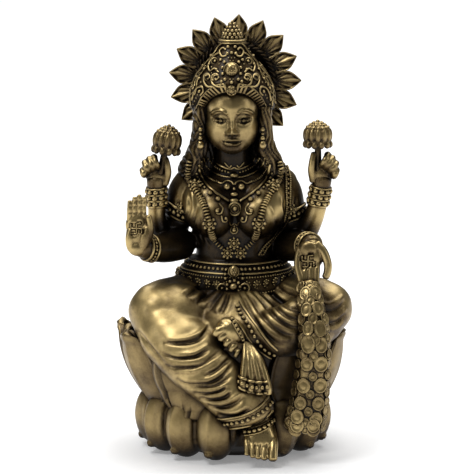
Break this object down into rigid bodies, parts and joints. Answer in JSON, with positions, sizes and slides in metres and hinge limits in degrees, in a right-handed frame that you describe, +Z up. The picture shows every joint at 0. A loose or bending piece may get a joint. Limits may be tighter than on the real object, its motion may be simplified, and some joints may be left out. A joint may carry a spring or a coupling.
{
  "type": "lakshmi figure",
  "caption": "Small cast brass goddess seated on a lotus, holding up lotus buds, with a hand raised in blessing and another that pours coins.",
  "frame": {"origin": "on the underside, under the centre of the lotus seat", "axes": "+Z up, +X to the viewer's right, the figure faces -Y"},
  "size_m": [0.0782, 0.0756, 0.14],
  "materials": {
    "antique_brass": "antique finish: satin on the raised parts, dark brown patina in the recesses"
  },
  "bodies": {
    "root": {"lakshmi_casting": "antique_brass"}
  },
  "joints": []
}
